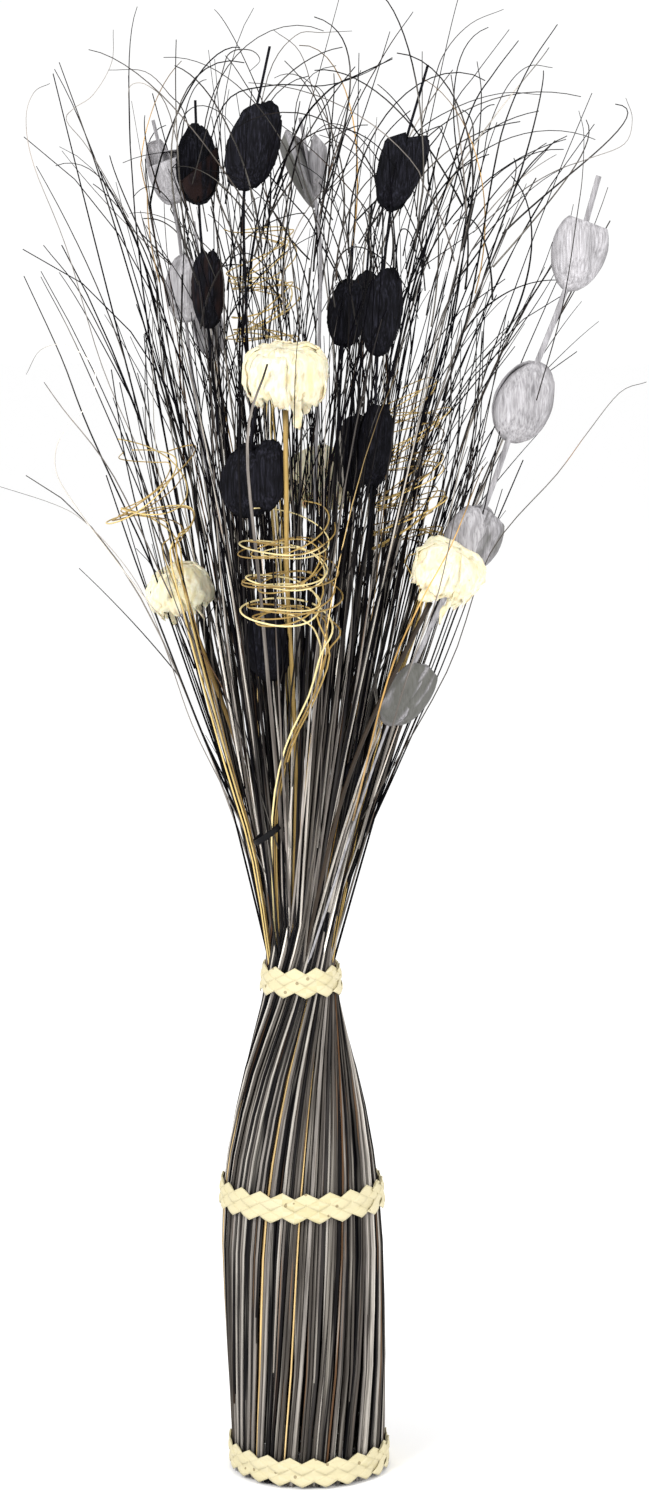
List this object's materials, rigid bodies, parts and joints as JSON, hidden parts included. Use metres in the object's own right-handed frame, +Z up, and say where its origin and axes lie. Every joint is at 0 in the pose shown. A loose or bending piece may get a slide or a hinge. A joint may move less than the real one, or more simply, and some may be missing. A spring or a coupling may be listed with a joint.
{
  "type": "twisted stem arrangement",
  "caption": "Floor-standing dried arrangement: a twisted bundle of dyed stems tied by braided palm bands, fanning out round petal buds, palm flowers and curled reeds.",
  "frame": {"origin": "centre of the bundle's cut ends, on the floor", "axes": "+Z up along the bundle, the front towards -Y, +X to the right as seen from the front"},
  "size_m": [0.4017, 0.3957, 1],
  "materials": {
    "dark_straw": "dyed dried grass stems, charcoal to grey-brown, satin",
    "palm_braid": "plaited undyed palm leaf, cream, matt",
    "black_petal": "palm bark petals dyed blue-black, fibrous, matt",
    "grey_petal": "palm bark petals dyed grey, fine grained, matt",
    "cream_flower": "peeled palm pith, cream, matt",
    "gold_reed": "split reed, gold to tan, satin",
    "black_strap": "woven strap, black"
  },
  "bodies": {
    "root": {"base_braid": "palm_braid", "bud_01_a": "grey_petal", "bud_01_b": "grey_petal", "bud_01_c": "grey_petal", "bud_01_d": "grey_petal", "bud_02_a": "grey_petal", "bud_02_b": "grey_petal", "bud_03_a": "grey_petal", "bud_04_a": "black_petal", "bud_04_b": "black_petal", "bud_05_a": "black_petal", "bud_06_a": "black_petal", "bud_06_b": "black_petal", "bud_06_c": "black_petal", "bud_06_d": "black_petal", "bud_07_a": "black_petal", "bud_08_a": "black_petal", "bud_08_b": "black_petal", "bud_09_a": "black_petal", "bud_09_b": "black_petal", "bud_10_a": "grey_petal", "central_sheaf": "dark_straw", "curled_reed_01": "gold_reed", "curled_reed_02": "gold_reed", "curled_reed_03": "gold_reed", "curled_reed_04": "gold_reed", "flower_01": "cream_flower", "flower_02": "cream_flower", "flower_03": "cream_flower", "flower_04": "cream_flower", "flower_stem_01": "gold_reed", "flower_stem_02": "gold_reed", "flower_stem_03": "gold_reed", "flower_stem_04": "gold_reed", "neck_braid": "palm_braid", "sheaf_01": "dark_straw", "sheaf_02": "dark_straw", "sheaf_03": "dark_straw", "sheaf_04": "dark_straw", "sheaf_05": "dark_straw", "sheaf_06": "dark_straw", "sheaf_07": "dark_straw", "sheaf_08": "dark_straw", "sheaf_09": "dark_straw", "sheaf_10": "dark_straw", "spear_01": "grey_petal", "spear_02": "grey_petal", "spear_03": "grey_petal", "spear_04": "black_petal", "spear_05": "black_petal", "spear_06": "black_petal", "spear_07": "black_petal", "spear_08": "black_petal", "spear_09": "black_petal", "spear_10": "grey_petal", "strap": "black_strap", "waist_braid": "palm_braid"}
  },
  "joints": []
}
